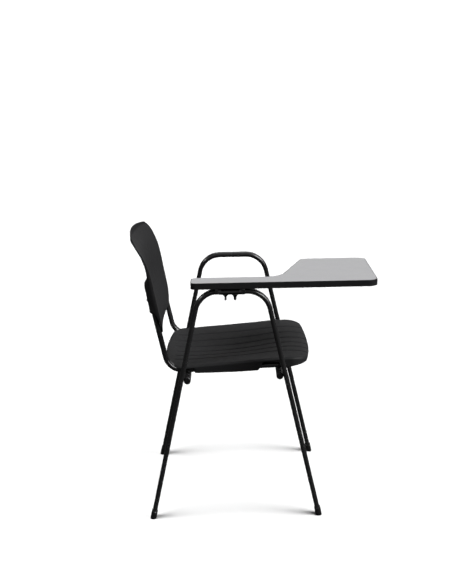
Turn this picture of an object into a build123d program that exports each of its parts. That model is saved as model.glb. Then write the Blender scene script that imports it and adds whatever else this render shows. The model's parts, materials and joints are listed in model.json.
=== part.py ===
from build123d import *

import os
from math import cos, radians, sin, sqrt

os.makedirs("parts", exist_ok=True)

# Student chair with a folding writing tablet on its right arm.
# Millimetres. +X is the way the sitter faces, +Y is the sitter's left, +Z is up.
# The origin is on the floor under the middle of the whole chair's box.

# ---------------------------------------------------------------- driving dimensions
MID_X = -57.1           # the middle of the four feet, behind the middle of the box

TUBE_W = 29.0           # oval frame tube, across the chair
TUBE_T = 13.4           # oval frame tube, in the plane of its bends
TUBE_WALL = 1.5

ARM_Z = 660.8           # centre of the arm bar
ARM_Y = 254.0           # half the distance between the arm bars
FOOT_Y = 268.0          # half the distance between the feet, across the chair
FOOT_X = 238.0          # half the distance between the feet, front to back
ARM_REAR_X = -89.0      # where the rear leg's line meets the arm bar's line
ARM_FRONT_X = 96.0      # where the front leg's line meets the arm bar's line
ARM_BEND_R = 64.5
LEG_START = 6.0         # the tube ends this far above the floor, inside its cap

RAIL_Y = 200.0          # back rails, half their distance apart
RAIL_Z = 426.4          # rail centre over the middle of the feet
RAIL_RISE = 0.035       # the rail rises towards the front
RAIL_FRONT_X = 160.0
RAIL_CORNER_X = -183.6
RAIL_SHOULDER = (-218.6, 585.0)
RAIL_TOP = (-233.4, 667.0)
RAIL_BEND_R = 50.0
SHOULDER_R = 220.0

CROSS_R = 10.0          # round cross tubes
CROSS_END_Y = 262.0
PLUG_DOME = 3.0
PLUG_L = 12.0           # how far the plugs reach into the tubes
PLUG_EDGE_R = 2.2

SEAT_Y = 220.0          # half the seat's width
SEAT_FRONT_X = 225.0
SEAT_REAR_X = -199.0
SEAT_SKIN = 4.5
SEAT_SKIRT = 3.5
SEAT_DISH = 15.0        # depth of the hollow for the sitter
SEAT_DISH_R = 185.0     # radius of that hollow in plan
SEAT_DISH_X = -40.0
SEAT_SLOPE = 3.95       # degrees
SEAT_DISH_Z = 442.5      # sitting surface over the middle of the hollow, before it is hollowed
SEAT_FRONT_BOW = 18.0
SEAT_REAR_BOW = 20.0
SEAT_CORNER_R = 42.0
SEAT_EDGE_R = 7.0        # roll of the top edge

BACK_Y = 220.0          # half the backrest's width
BACK_LOW_Z = 522.0
BACK_TOP_Z = 800.5
BACK_SHOULDER_Z = 772.0 # top of the side edges
BACK_LOW_CORNER_R = 66.0
BACK_TOP_CORNER_R = 26.0
BACK_SKIN = 3.5
BACK_LEAN = 0.176       # the side edge leans back this much per unit of height
BACK_LOW_X = -192.1
BACK_FLARE_Z = 680.0    # above this the back curls away from the sitter
BACK_UPRIGHT_Z = 778.0  # above this it stands upright
BACK_FLARE = 0.0022
WRAP_TOP = 32.0         # how far the middle lies behind the side edges
WRAP_MID = 28.0
WRAP_LOW = 13.0
WRAP_LEVELS = ((522.0, 665.0), (705.0, 765.0))  # it deepens between these heights
SIDE_WALL_T = 4.0       # walls along the side edges, above the sleeves
SIDE_WALL_DEPTH = 12.0
SIDE_WALL_TOP_Z = 750.0
SIDE_WALL_FULL_Z = 692.0

BOARD_TOP = 688.3       # writing surface
BOARD_T = 18.0
BAND_T = 2.0
LAMINATE_T = 0.8

BRACKET_X = -3.0        # middle of the tablet's bracket
BOLT_SPACING = 26.6
BOLT_R = 3.0
PIN_Y = -276.5          # hinge pin of the tablet
PIN_Z = 662.3
PIN_R = 2.5
KNUCKLE_R = 5.5
RUN = 0.05              # radial clearance of a running fit
LEAF_T = 1.2
SADDLE_T = 1.0


def at(x):
    """The chair's parts are set out from the middle of the feet."""
    return MID_X + x


def save(part, label):
    part.label = label
    export_step(part, f"parts/{label}.step")


def rail_z(x):
    """Height of the seat rail's centre line, x from the middle of the feet."""
    return RAIL_Z + RAIL_RISE * x


# ---------------------------------------------------------------- plane of a side frame
# Each side is one tube: rear leg, arm bar and front leg, in a plane that leans in.
lean_in = Vector(0, FOOT_Y - ARM_Y, ARM_Z).normalized()
side_plane = Plane(
    origin=(MID_X, -FOOT_Y, 0),
    x_dir=(1, 0, 0),
    z_dir=Vector(1, 0, 0).cross(lean_in),
)
arm_rise = sqrt(ARM_Z**2 + (FOOT_Y - ARM_Y) ** 2)
rear_leg = Vector(ARM_REAR_X + FOOT_X, arm_rise, 0).normalized()
front_leg = Vector(ARM_FRONT_X - FOOT_X, arm_rise, 0).normalized()

# ---------------------------------------------------------------- clamp on the right arm
# The tablet's bracket is bolted through the right arm bar, with a wing nut on each bolt.
arm_plane = Plane(
    origin=(at(BRACKET_X), -ARM_Y, ARM_Z),
    x_dir=(1, 0, 0),
    z_dir=lean_in,
)
TUBE_HALF = TUBE_T / 2
CLAMP_T = 1.5
CLAMP_W = 18.0
CLAMP_REAR = -32.0      # along the arm from the bracket's middle
CLAMP_FRONT = 41.0
WASHER_R = 7.5
WASHER_T = 1.4
HEAD_R = 6.0
BOLT_END = 25.5         # below the arm's centre
bolt_spots = [(-BOLT_SPACING / 2, 0), (BOLT_SPACING / 2, 0)]
head_level = arm_plane.offset(TUBE_HALF + SADDLE_T)

with BuildPart() as clamp_bolts:
    with BuildSketch(head_level):
        with Locations(*bolt_spots):
            Circle(HEAD_R)
    extrude(amount=-(HEAD_R - BOLT_R), taper=45)
    with BuildSketch(head_level):
        with Locations(*bolt_spots):
            Circle(BOLT_R)
    extrude(amount=-(TUBE_HALF + SADDLE_T + BOLT_END))
save(clamp_bolts.part, "clamp_bolts")

with BuildPart() as clamp_plate:
    with BuildSketch(arm_plane.offset(-TUBE_HALF)):
        with Locations(((CLAMP_REAR + CLAMP_FRONT) / 2, 0)):
            RectangleRounded(CLAMP_FRONT - CLAMP_REAR, CLAMP_W, radius=3)
    extrude(amount=-CLAMP_T)
    add(clamp_bolts.part, mode=Mode.SUBTRACT)
save(clamp_plate.part, "clamp_plate")

with BuildPart() as clamp_washers:
    with BuildSketch(arm_plane.offset(-TUBE_HALF - CLAMP_T)):
        with Locations(*bolt_spots):
            Circle(WASHER_R)
            Circle(BOLT_R, mode=Mode.SUBTRACT)
    extrude(amount=-WASHER_T)
save(clamp_washers.part, "clamp_washers")

NUT_GAP = 0.2
NUT_TOP = TUBE_HALF + CLAMP_T + WASHER_T + NUT_GAP
NUT_HUB_R = 6.0
NUT_HUB_H = 8.0
WING_REACH = 12.4
WING_LOW = 16.0
WING_T = 2.4
WING_ROOT = 5.0         # each wing leaves the hub this far from its axis
WING_TIP_L = 5.0        # a wing's width at its rounded tip


def wing_nut(along, turn):
    """Wing nut hanging under the arm, its wings turned from the line of the arm."""
    across = Vector(1, 0, 0).rotate(Axis((0, 0, 0), lean_in), turn)
    centre = arm_plane.from_local_coords((along, 0, -NUT_TOP))
    hub_plane = Plane(origin=centre, x_dir=across, z_dir=-lean_in)
    with BuildPart() as nut:
        with BuildSketch(hub_plane):
            Circle(NUT_HUB_R)
        extrude(amount=NUT_HUB_H, taper=9)
        wing_plane = Plane(origin=centre, x_dir=across, z_dir=across.cross(-lean_in))
        tip_out = (WING_REACH, WING_LOW - 4)
        tip_in = (WING_REACH - WING_TIP_L, WING_LOW - 3)
        with BuildSketch(wing_plane):
            with BuildLine():
                Polyline((0, 1.5), (WING_ROOT, 1.5), (WING_REACH - 3, 4.5), tip_out)
                ThreePointArc(tip_out, (WING_REACH - WING_TIP_L / 2, WING_LOW), tip_in)
                Polyline(tip_in, (0, WING_ROOT), (0, 1.5))
            make_face()
            mirror(about=Plane.YZ)
        extrude(amount=WING_T / 2, both=True)
        with BuildSketch(hub_plane):
            Circle(BOLT_R + RUN)
        extrude(amount=WING_LOW, mode=Mode.SUBTRACT)
    return nut.part


save(wing_nut(bolt_spots[0][0], 90), "wing_nut_rear")
save(wing_nut(bolt_spots[1][0], 35), "wing_nut_front")


# ---------------------------------------------------------------- side frames
with BuildPart() as side_frame:
    with BuildLine(side_plane) as frame_line:
        FilletPolyline(
            (-FOOT_X + rear_leg.X * LEG_START, rear_leg.Y * LEG_START),
            (ARM_REAR_X, arm_rise),
            (ARM_FRONT_X, arm_rise),
            (FOOT_X + front_leg.X * LEG_START, front_leg.Y * LEG_START),
            radius=ARM_BEND_R,
        )
    start = frame_line.line
    with BuildSketch(Plane(origin=start @ 0, x_dir=side_plane.z_dir, z_dir=start % 0)):
        SlotOverall(TUBE_W, TUBE_T)
        SlotOverall(TUBE_W - 2 * TUBE_WALL, TUBE_T - 2 * TUBE_WALL, mode=Mode.SUBTRACT)
    sweep()

with BuildPart() as side_frame_right:
    add(side_frame.part)
    add(clamp_bolts.part, mode=Mode.SUBTRACT)
save(side_frame_right.part, "side_frame_right")

with BuildPart() as side_frame_left:
    mirror(side_frame.part, about=Plane.XZ)
save(side_frame_left.part, "side_frame_left")


# ---------------------------------------------------------------- foot caps
CAP_W = 33.0
CAP_T = 17.2
CAP_RISE = 22.0         # length of a cap up the leg
CAP_CORNER_R = 2.5
CAP_LIP = 0.8           # bevel round the cap's mouth
CAP_SPARE = 12.0        # drawn below the floor, then cut off level with it


def foot_cap(foot_x, leg):
    """A moulded cup over the end of a leg, flat where it meets the floor."""
    up = side_plane.x_dir * leg.X + side_plane.y_dir * leg.Y
    foot = Vector(at(foot_x), -FOOT_Y, 0)
    across = side_plane.z_dir
    with BuildPart() as cap:
        with BuildSketch(Plane(origin=foot - up * CAP_SPARE, x_dir=across, z_dir=up)):
            SlotOverall(CAP_W, CAP_T)
        extrude(amount=CAP_SPARE + CAP_RISE)
        split(bisect_by=Plane.XY, keep=Keep.TOP)
        fillet(cap.edges().group_by(Axis.Z)[0], radius=CAP_CORNER_R)
        chamfer(cap.faces().sort_by(Axis.Z)[-1].outer_wire().edges(), length=CAP_LIP)
        with BuildSketch(Plane(origin=foot + up * LEG_START, x_dir=across, z_dir=up)):
            SlotOverall(TUBE_W, TUBE_T)
        extrude(amount=CAP_RISE, mode=Mode.SUBTRACT)
    return cap.part


for end, foot_x, leg in (("front", FOOT_X, front_leg), ("rear", -FOOT_X, rear_leg)):
    right_cap = foot_cap(foot_x, leg)
    with BuildPart() as left_cap:
        mirror(right_cap, about=Plane.XZ)
    save(right_cap, f"foot_cap_{end}_right")
    save(left_cap.part, f"foot_cap_{end}_left")


# ---------------------------------------------------------------- back and seat rails
# One bent tube each side: an upright that the backrest slides onto, and a rail under
# the seat.
rail_plane = Plane.XZ.offset(RAIL_Y)

with BuildPart() as back_rail:
    with BuildLine(rail_plane) as rail_line:
        FilletPolyline(
            (at(RAIL_TOP[0]), RAIL_TOP[1]),
            (at(RAIL_SHOULDER[0]), RAIL_SHOULDER[1]),
            (at(RAIL_CORNER_X), rail_z(RAIL_CORNER_X)),
            (at(RAIL_FRONT_X), rail_z(RAIL_FRONT_X)),
            radius=(SHOULDER_R, RAIL_BEND_R),
        )
    start = rail_line.line
    with BuildSketch(Plane(origin=start @ 0, x_dir=(0, 1, 0), z_dir=start % 0)):
        SlotOverall(TUBE_W, TUBE_T)
        SlotOverall(TUBE_W - 2 * TUBE_WALL, TUBE_T - 2 * TUBE_WALL, mode=Mode.SUBTRACT)
    sweep()
rail_front = start @ 1
rail_along = start % 1

RAIL_SPACE = 0.8        # clearance round a rail where it passes under the seat


def rail_space(clearance):
    """The space that both rails fill, with a clearance all round."""
    with BuildPart() as space:
        with BuildSketch(Plane(origin=start @ 0, x_dir=(0, 1, 0), z_dir=start % 0)):
            SlotOverall(TUBE_W + 2 * clearance, TUBE_T + 2 * clearance)
        sweep(path=start)
        mirror(about=Plane.XZ)
    return space.part


# Plug in the open front end of each rail.
with BuildPart() as rail_plug:
    with BuildSketch(Plane(origin=rail_front, x_dir=(0, 1, 0), z_dir=rail_along)):
        SlotOverall(TUBE_W, TUBE_T)
    extrude(amount=PLUG_DOME)
    fillet(rail_plug.faces().sort_by(Axis.X)[-1].outer_wire().edges(), radius=PLUG_EDGE_R)
    with BuildSketch(Plane(origin=rail_front, x_dir=(0, 1, 0), z_dir=-rail_along)):
        SlotOverall(TUBE_W - 2 * TUBE_WALL, TUBE_T - 2 * TUBE_WALL)
    extrude(amount=PLUG_L)
with BuildPart() as rail_plugs:
    add(rail_plug.part)
    mirror(rail_plug.part, about=Plane.XZ)
save(rail_plugs.part, "rail_front_plugs")


# ---------------------------------------------------------------- cross tubes
# They lie along the inner faces of the legs and carry the rails.
def leg_x(foot_x, corner_x, z):
    """Where a leg's centre line is at height z."""
    return foot_x + (corner_x - foot_x) * z / ARM_Z


def cross_tube_place(foot_x, corner_x, inward):
    """Centre of a cross tube that touches both the rail above and the leg beside it."""
    slope = (corner_x - foot_x) / ARM_Z
    reach = (TUBE_T / 2 + CROSS_R) * sqrt(1 + slope**2)
    x, z = foot_x, 0.0
    for _ in range(20):
        z = rail_z(x) - (TUBE_T / 2 + CROSS_R) * sqrt(1 + RAIL_RISE**2)
        x = leg_x(foot_x, corner_x, z) + inward * reach
    return x, z


CROSS_FRONT = cross_tube_place(FOOT_X, ARM_FRONT_X, -1)
CROSS_REAR = cross_tube_place(-FOOT_X, ARM_REAR_X, 1)


def cross_tube(place):
    x, z = place
    with BuildPart() as tube:
        with BuildSketch(Plane(origin=(at(x), -CROSS_END_Y, z), x_dir=(1, 0, 0), z_dir=(0, 1, 0))):
            Circle(CROSS_R)
            Circle(CROSS_R - TUBE_WALL, mode=Mode.SUBTRACT)
        extrude(amount=2 * CROSS_END_Y)
    return tube.part


def cross_plugs(place):
    """A domed plug in each end of a cross tube."""
    x, z = place
    with BuildPart() as plug:
        with BuildSketch(Plane(origin=(at(x), -CROSS_END_Y, z), x_dir=(1, 0, 0), z_dir=(0, -1, 0))):
            Circle(CROSS_R)
        extrude(amount=PLUG_DOME)
        fillet(plug.faces().sort_by(Axis.Y)[0].edges(), radius=PLUG_EDGE_R)
        with BuildSketch(Plane(origin=(at(x), -CROSS_END_Y, z), x_dir=(1, 0, 0), z_dir=(0, 1, 0))):
            Circle(CROSS_R - TUBE_WALL)
        extrude(amount=PLUG_L)
    with BuildPart() as pair:
        add(plug.part)
        mirror(plug.part, about=Plane.XZ)
    return pair.part


save(cross_tube(CROSS_FRONT), "cross_tube_front")
save(cross_tube(CROSS_REAR), "cross_tube_rear")
save(cross_plugs(CROSS_FRONT), "cross_tube_plugs_front")
save(cross_plugs(CROSS_REAR), "cross_tube_plugs_rear")


# ---------------------------------------------------------------- seat tabs and screws
# Steel tabs welded inside the rails, level with their undersides, take the seat screws.
TAB_X = (-108.0, 92.0)
TAB_L = 30.0
TAB_W = 28.0
TAB_T = 2.5
SCREW_R = 2.0
SCREW_HEAD_R = 4.5
SCREW_HEAD_T = 2.6
SCREW_Y = RAIL_Y - TUBE_W / 2 - TAB_W / 2
SEAT_BOSS_R = 6.5
SEAT_SCREW_L = 14.0


def tab_plane(x, side):
    """On top of a tab's middle, square to the rail."""
    low = rail_z(x) - TUBE_T / 2 + TAB_T
    return Plane(origin=(at(x), side * SCREW_Y, low), x_dir=(1, 0, RAIL_RISE), z_dir=(-RAIL_RISE, 0, 1))


TAB_PLACES = [tab_plane(x, side) for x in TAB_X for side in (-1, 1)]

with BuildPart() as seat_tabs:
    for place in TAB_PLACES:
        with BuildSketch(place):
            Rectangle(TAB_L, TAB_W)
            Circle(SCREW_R, mode=Mode.SUBTRACT)
        extrude(amount=-TAB_T)
save(seat_tabs.part, "seat_tabs")

with BuildPart() as seat_screws:
    for place in TAB_PLACES:
        with BuildSketch(place.offset(-TAB_T)):
            Circle(SCREW_R)
        extrude(amount=TAB_T + SEAT_SCREW_L)
        with BuildSketch(place.offset(-TAB_T)):
            Circle(SCREW_HEAD_R)
        extrude(amount=-SCREW_HEAD_T)
save(seat_screws.part, "seat_screws")


# ---------------------------------------------------------------- seat shell
# Side view of the sitting surface, x from the middle of the feet.
SEAT_TOP_LINE = [
    (SEAT_REAR_X - 5, 438.0),
    (-150.0, 435.5),
    (-73.0, 440.0),
    (53.0, 449.0),
    (140.0, 455.5),
    (180.0, 455.0),
    (207.0, 450.5),
    (SEAT_FRONT_X + 5, 442.0),
]
SKIRT_LOW_LINE = [
    (SEAT_FRONT_X + 5, 433.0),
    (150.0, 423.5),
    (SEAT_REAR_X - 5, 411.5),
]
ARCH_REAR = (-205.0, -116.0, 431.0)      # from, to, top
ARCH_FRONT = (76.0, 138.0, 441.5)
ARCH_CORNER_R = 9.0
ARCH_H = 60.0           # tall enough to pass out of the skirt's lower edge
UNDER_SEAT_Z = 380.0    # clear below the seat
OVER_SEAT = 90.0        # from there to clear above it


def seat_side_view(drop, inset):
    """Area under the sitting surface, lowered by drop and cut short by inset."""
    top = [(at(x), z - drop) for x, z in SEAT_TOP_LINE]
    with BuildSketch(Plane.XZ.offset(inset - SEAT_Y)) as view:
        with BuildLine():
            surface = Spline(top)
            low = [(at(x), z - drop) for x, z in SKIRT_LOW_LINE]
            Polyline(surface @ 1, *low, surface @ 0)
        make_face()
    return view.sketch


def seat_plan(inset):
    """Seat seen from above: nearly square, with a bowed front and rear edge."""
    half = SEAT_Y - inset
    front = at(SEAT_FRONT_X - inset)
    rear = at(SEAT_REAR_X + inset)
    with BuildSketch(Plane.XY.offset(UNDER_SEAT_Z)) as plan:
        with BuildLine():
            ThreePointArc((front - SEAT_FRONT_BOW, -half), (front, 0), (front - SEAT_FRONT_BOW, half))
            Line((front - SEAT_FRONT_BOW, half), (rear + SEAT_REAR_BOW, half))
            ThreePointArc((rear + SEAT_REAR_BOW, half), (rear, 0), (rear + SEAT_REAR_BOW, -half))
            Line((rear + SEAT_REAR_BOW, -half), (front - SEAT_FRONT_BOW, -half))
        make_face()
        fillet(plan.vertices(), radius=SEAT_CORNER_R - inset)
    return plan.sketch


# The hollow is part of a very large ball, tilted like the seat.
DISH_BALL_R = (SEAT_DISH_R**2 + SEAT_DISH**2) / (2 * SEAT_DISH)
dish_up = Vector(-sin(radians(SEAT_SLOPE)), 0, cos(radians(SEAT_SLOPE)))
dish_low = Vector(at(SEAT_DISH_X), 0, SEAT_DISH_Z - SEAT_DISH)
dish_centre = dish_low + dish_up * DISH_BALL_R


def dish(depth):
    """The ball that hollows the seat, or, deepened by the skin, its underside."""
    with BuildPart() as ball:
        with Locations(dish_centre):
            Sphere(DISH_BALL_R + depth)
    return ball.part


with BuildPart() as seat_cavity:
    extrude(seat_side_view(SEAT_SKIN, SEAT_SKIRT), amount=2 * (SEAT_Y - SEAT_SKIRT), dir=(0, -1, 0))
    extrude(seat_plan(SEAT_SKIRT), amount=OVER_SEAT, dir=(0, 0, 1), mode=Mode.INTERSECT)
    add(dish(SEAT_SKIN), mode=Mode.SUBTRACT)


def skirt_arch(start_x, end_x, top_z):
    """Arched opening through both side skirts."""
    with BuildPart() as arch:
        with BuildSketch(Plane.XZ.offset(-SEAT_Y - 1)) as opening:
            with Locations((at((start_x + end_x) / 2), top_z - ARCH_H / 2)):
                Rectangle(end_x - start_x, ARCH_H)
            fillet(opening.vertices().group_by(Axis.Y)[-1], radius=ARCH_CORNER_R)
        extrude(amount=2 * SEAT_Y + 2)
        with Locations((at((start_x + end_x) / 2), 0, top_z - ARCH_H / 2)):
            Box(end_x - start_x, 2 * (SEAT_Y - SEAT_SKIRT - 6), 2 * ARCH_H, mode=Mode.SUBTRACT)
    return arch.part


with BuildPart() as seat_shell:
    extrude(seat_side_view(0, 0), amount=2 * SEAT_Y, dir=(0, -1, 0))
    extrude(seat_plan(0), amount=OVER_SEAT, dir=(0, 0, 1), mode=Mode.INTERSECT)
    top_face = seat_shell.faces().filter_by(GeomType.PLANE, reverse=True).sort_by(SortBy.AREA)[-1]
    fillet(top_face.edges(), radius=SEAT_EDGE_R)
    add(dish(0), mode=Mode.SUBTRACT)
    under = [seat_cavity.part, rail_space(RAIL_SPACE), skirt_arch(*ARCH_REAR), skirt_arch(*ARCH_FRONT)]
    add(under, mode=Mode.SUBTRACT)
    for place in TAB_PLACES:
        with BuildSketch(place):
            Circle(SEAT_BOSS_R)
        extrude(until=Until.NEXT)
        with BuildSketch(place):
            Circle(SCREW_R)
        extrude(amount=SEAT_SCREW_L, mode=Mode.SUBTRACT)
save(seat_shell.part, "seat_shell")


# ---------------------------------------------------------------- backrest
BACK_STEP = 20          # height of each strip of the backrest's curve
SLEEVE_WALL = 4.0
SLEEVE_LOW_Z = 592.0
SLEEVE_CAP = 9.0
BACK_REACH = 140.0      # from the lowest edge back past the rearmost point
BACK_SPARE = 4.0        # the curved slab passes the side edges by this much


def back_edge_x(z):
    """The sitter's side of the backrest at its side edges, from the middle of the feet."""
    leaning_z = min(z, BACK_UPRIGHT_Z)
    curl = BACK_FLARE * max(0.0, leaning_z - BACK_FLARE_Z) ** 2
    return BACK_LOW_X - BACK_LEAN * (leaning_z - BACK_LOW_Z) - curl


def ease(z, low, high):
    """Rises smoothly from 0 at low to 1 at high."""
    share = min(1.0, max(0.0, (z - low) / (high - low)))
    return share * share * (3 - 2 * share)


def back_wrap(z):
    """How far the middle of the backrest lies behind its side edges."""
    lower, upper = WRAP_LEVELS
    return WRAP_LOW + (WRAP_MID - WRAP_LOW) * ease(z, *lower) + (WRAP_TOP - WRAP_MID) * ease(z, *upper)


def back_block(depth):
    """A curved slab behind the sitter's surface, larger than the backrest on every side."""
    half = BACK_Y + BACK_SPARE
    with BuildPart() as block:
        for z in range(int(BACK_LOW_Z) - BACK_STEP, int(BACK_TOP_Z) + 2 * BACK_STEP, BACK_STEP):
            front_x = at(back_edge_x(z))
            middle_x = front_x - back_wrap(z)
            with BuildSketch(Plane.XY.offset(z)):
                with BuildLine():
                    ThreePointArc((front_x, -half), (middle_x, 0), (front_x, half))
                    Line((front_x, half), (front_x - depth, half))
                    ThreePointArc((front_x - depth, half), (middle_x - depth, 0), (front_x - depth, -half))
                    Line((front_x - depth, -half), (front_x, -half))
                make_face()
        loft(ruled=True)
    return block.part


with BuildPart() as back_outline:
    with BuildSketch(Plane.YZ.offset(at(BACK_LOW_X))) as outline:
        with BuildLine():
            Line((-BACK_Y, BACK_SHOULDER_Z), (-BACK_Y, BACK_LOW_Z))
            Line((-BACK_Y, BACK_LOW_Z), (BACK_Y, BACK_LOW_Z))
            Line((BACK_Y, BACK_LOW_Z), (BACK_Y, BACK_SHOULDER_Z))
            ThreePointArc((BACK_Y, BACK_SHOULDER_Z), (0, BACK_TOP_Z), (-BACK_Y, BACK_SHOULDER_Z))
        make_face()
        fillet(outline.vertices().group_by(Axis.Y)[0], radius=BACK_LOW_CORNER_R)
        fillet(outline.vertices().group_by(Axis.Y)[-1], radius=BACK_TOP_CORNER_R)
    extrude(amount=-BACK_REACH)

sleeve_up = Vector(RAIL_TOP[0] - RAIL_SHOULDER[0], 0, RAIL_TOP[1] - RAIL_SHOULDER[1]).normalized()
sleeve_low_x = RAIL_TOP[0] - (RAIL_TOP[1] - SLEEVE_LOW_Z) * sleeve_up.X / sleeve_up.Z
sleeve_length = (RAIL_TOP[1] - SLEEVE_LOW_Z) / sleeve_up.Z
SLEEVE_PLANES = [
    Plane(origin=(at(sleeve_low_x), side * RAIL_Y, SLEEVE_LOW_Z), x_dir=(0, 1, 0), z_dir=sleeve_up)
    for side in (-1, 1)
]
BACK_SCREW_UP = 38.0    # from the sleeve's mouth to its screw
BACK_SCREW_L = 14.0
BACK_SCREW_PLANES = [
    Plane(
        origin=place.origin + sleeve_up * BACK_SCREW_UP + place.y_dir * (TUBE_T / 2 + SLEEVE_WALL),
        x_dir=(0, 1, 0),
        z_dir=place.x_dir.cross(sleeve_up),
    )
    for place in SLEEVE_PLANES
]


with BuildPart() as backrest_screws:
    for place in BACK_SCREW_PLANES:
        with BuildSketch(place):
            Circle(SCREW_R)
        extrude(amount=BACK_SCREW_L)
        with BuildSketch(place):
            Circle(SCREW_HEAD_R)
        extrude(amount=-SCREW_HEAD_T)
save(backrest_screws.part, "backrest_screws")

# Sleeves for the rails and, above them, walls along the side edges. Both start at the
# sitter's surface.
with BuildPart() as back_mounts:
    for place in SLEEVE_PLANES:
        with BuildSketch(place):
            SlotOverall(TUBE_W + 2 * SLEEVE_WALL, TUBE_T + 2 * SLEEVE_WALL)
        extrude(amount=sleeve_length + SLEEVE_CAP)
    with BuildSketch(Plane.XZ.offset(BACK_Y - SIDE_WALL_T)):
        with BuildLine():
            Polyline(
                (at(back_edge_x(SIDE_WALL_TOP_Z)), SIDE_WALL_TOP_Z),
                (at(back_edge_x(SIDE_WALL_FULL_Z)) - SIDE_WALL_DEPTH, SIDE_WALL_FULL_Z),
                (at(back_edge_x(SLEEVE_LOW_Z)) - SIDE_WALL_DEPTH, SLEEVE_LOW_Z),
                (at(back_edge_x(SLEEVE_LOW_Z)) + SIDE_WALL_DEPTH, SLEEVE_LOW_Z),
                (at(back_edge_x(SIDE_WALL_TOP_Z)) + SIDE_WALL_DEPTH, SIDE_WALL_TOP_Z),
                close=True,
            )
        make_face()
    extrude(amount=SIDE_WALL_T)
    mirror(about=Plane.XZ)
    add(back_block(BACK_REACH / 2), mode=Mode.INTERSECT)

with BuildPart() as backrest_shell:
    add(back_block(BACK_SKIN))
    add(back_mounts.part)
    add(back_outline.part, mode=Mode.INTERSECT)
    add(rail_space(0), mode=Mode.SUBTRACT)
    add(backrest_screws.part, mode=Mode.SUBTRACT)
save(backrest_shell.part, "backrest_shell")

with BuildPart() as back_rail_right:
    add(back_rail.part)
    add(backrest_screws.part, mode=Mode.SUBTRACT)
save(back_rail_right.part, "back_rail_right")

with BuildPart() as back_rail_left:
    mirror(back_rail_right.part, about=Plane.XZ)
save(back_rail_left.part, "back_rail_left")


# ---------------------------------------------------------------- writing tablet
# Seen from above, x from the middle of the feet: a narrow end along the arm and a wide
# end in front of the sitter.
BOARD_CORNERS = [(-113, -272), (409, -272), (398, 36), (207, 36), (137, -201), (-113, -201)]
BOARD_RADII = (14, 26, 26, 20, 60, 14)
BOARD_LOW = BOARD_TOP - BOARD_T
BAND_EDGE_R = 1.0


def board_slab(inset, low, high):
    """The board's outline, drawn in by inset, between two heights."""
    with BuildPart() as slab:
        with BuildSketch(Plane.XY.offset(low)):
            with BuildLine():
                FilletPolyline(*[(at(x), y) for x, y in BOARD_CORNERS], radius=BOARD_RADII, close=True)
            make_face()
            if inset:
                offset(amount=-inset, mode=Mode.REPLACE)
        extrude(amount=high - low)
    return slab.part


LEAF_L = 83.0
LEAF_IN_Y = -212.0
KNUCKLE_L = 8.0
KNUCKLE_GAP = 0.3
PIN_HEAD_R = 4.0
PIN_HEAD_T = 1.5
LEAF_LOW = BOARD_LOW - LEAF_T
LEAF_SCREW_L = 12.0
leaf_screw_spots = [(at(BRACKET_X + x), y) for x in (-33, 33) for y in (-252, -222)]

with BuildPart() as leaf_screws:
    with BuildSketch(Plane.XY.offset(LEAF_LOW)):
        with Locations(*leaf_screw_spots):
            Circle(2 + LEAF_T)
    extrude(amount=LEAF_T, taper=45)
    with BuildSketch(Plane.XY.offset(LEAF_LOW)):
        with Locations(*leaf_screw_spots):
            Circle(2)
    extrude(amount=LEAF_T + LEAF_SCREW_L)
save(leaf_screws.part, "leaf_screws")

with BuildPart() as tablet_core:
    add(board_slab(BAND_T, BOARD_LOW + LAMINATE_T, BOARD_TOP - LAMINATE_T))
    add(leaf_screws.part, mode=Mode.SUBTRACT)
save(tablet_core.part, "tablet_core")

with BuildPart() as tablet_backing:
    add(board_slab(BAND_T, BOARD_LOW, BOARD_LOW + LAMINATE_T))
    add(leaf_screws.part, mode=Mode.SUBTRACT)
save(tablet_backing.part, "tablet_backing_laminate")

save(board_slab(BAND_T, BOARD_TOP - LAMINATE_T, BOARD_TOP), "tablet_writing_laminate")

with BuildPart() as tablet_band:
    add(board_slab(0, BOARD_LOW, BOARD_TOP))
    fillet(tablet_band.edges().group_by(Axis.Z)[0], radius=BAND_EDGE_R)
    fillet(tablet_band.edges().group_by(Axis.Z)[-1], radius=BAND_EDGE_R)
    add(board_slab(BAND_T, BOARD_LOW - 1, BOARD_TOP + 1), mode=Mode.SUBTRACT)
save(tablet_band.part, "tablet_edge_band")


# ---------------------------------------------------------------- tablet hinge
def knuckle(start_x, strip_y, strip_top, plate_low, plate_end_y, bore_r):
    """One rolled knuckle, the strip up from it, and the tongue to its plate."""
    strip_t = strip_top - plate_low
    outward = -1 if strip_y < PIN_Y else 1
    with BuildPart() as roll:
        with BuildSketch(Plane.YZ.offset(at(start_x))):
            with Locations((PIN_Y, PIN_Z)):
                Circle(KNUCKLE_R)
            with Locations((strip_y - outward * strip_t / 2, (PIN_Z + strip_top) / 2)):
                Rectangle(strip_t, strip_top - PIN_Z)
            with Locations(((strip_y + plate_end_y) / 2, (plate_low + strip_top) / 2)):
                Rectangle(plate_end_y - strip_y, strip_t)
            with Locations((PIN_Y, PIN_Z)):
                Circle(bore_r, mode=Mode.SUBTRACT)
        extrude(amount=KNUCKLE_L)
    return roll.part


LEAF_KNUCKLES = (BRACKET_X - LEAF_L / 2, BRACKET_X + LEAF_L / 2 - KNUCKLE_L)
ARM_KNUCKLES = (
    LEAF_KNUCKLES[0] + KNUCKLE_L + KNUCKLE_GAP,
    LEAF_KNUCKLES[1] - KNUCKLE_L - KNUCKLE_GAP,
)
LEAF_OUT_Y = PIN_Y + KNUCKLE_R + 2.5

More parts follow.
